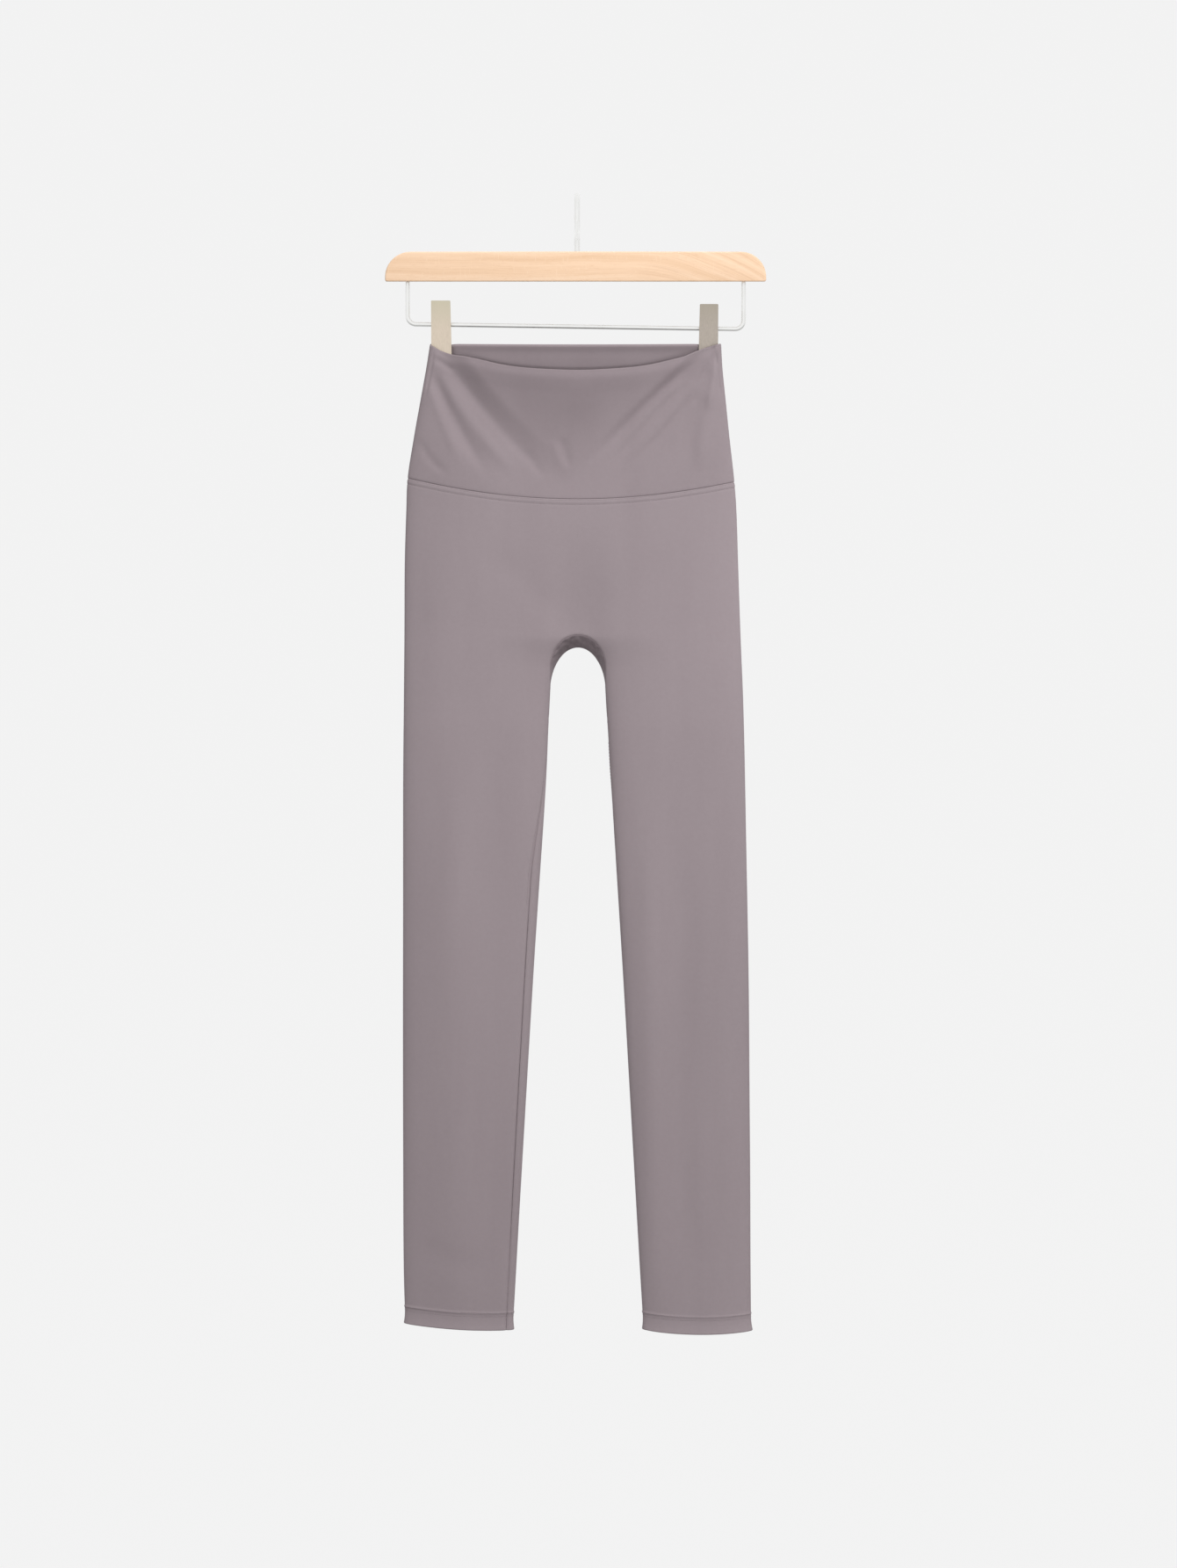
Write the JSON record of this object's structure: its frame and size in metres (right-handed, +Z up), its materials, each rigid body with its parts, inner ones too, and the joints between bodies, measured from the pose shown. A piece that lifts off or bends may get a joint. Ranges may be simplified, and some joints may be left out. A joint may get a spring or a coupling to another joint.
{
  "type": "high-waist leggings on a wooden clip hanger",
  "caption": "High-waist leggings hung flat by the back waistband from a wooden hanger whose wire rail carries metal clips.",
  "frame": {"origin": "the seat of the hook: the inner top of its ring, where it lies on a rail", "axes": "+Z up, the front of the garment faces -Y, +X is the right of the front view"},
  "size_m": [0.36, 0.0394, 1.0668],
  "materials": {
    "jersey": "matt fine-knit stretch jersey, mauve grey",
    "wood": "clear satin lacquer on pale beech",
    "wire": "bright plated steel wire",
    "clip_metal": "satin nickel plate",
    "clip_pad": "soft translucent grip pad"
  },
  "bodies": {
    "root": {"waistband_front": "jersey", "waistband_back": "jersey", "front_panel": "jersey", "back_left": "jersey", "back_right": "jersey", "gusset": "jersey", "hanger_bar": "wood", "hanger_hook": "wire", "clip_rail": "wire", "clip_left_front": "clip_metal", "clip_left_back": "clip_metal", "clip_right_front": "clip_metal", "clip_right_back": "clip_metal", "pad_left_front": "clip_pad", "pad_left_back": "clip_pad", "pad_right_front": "clip_pad", "pad_right_back": "clip_pad"}
  },
  "joints": []
}
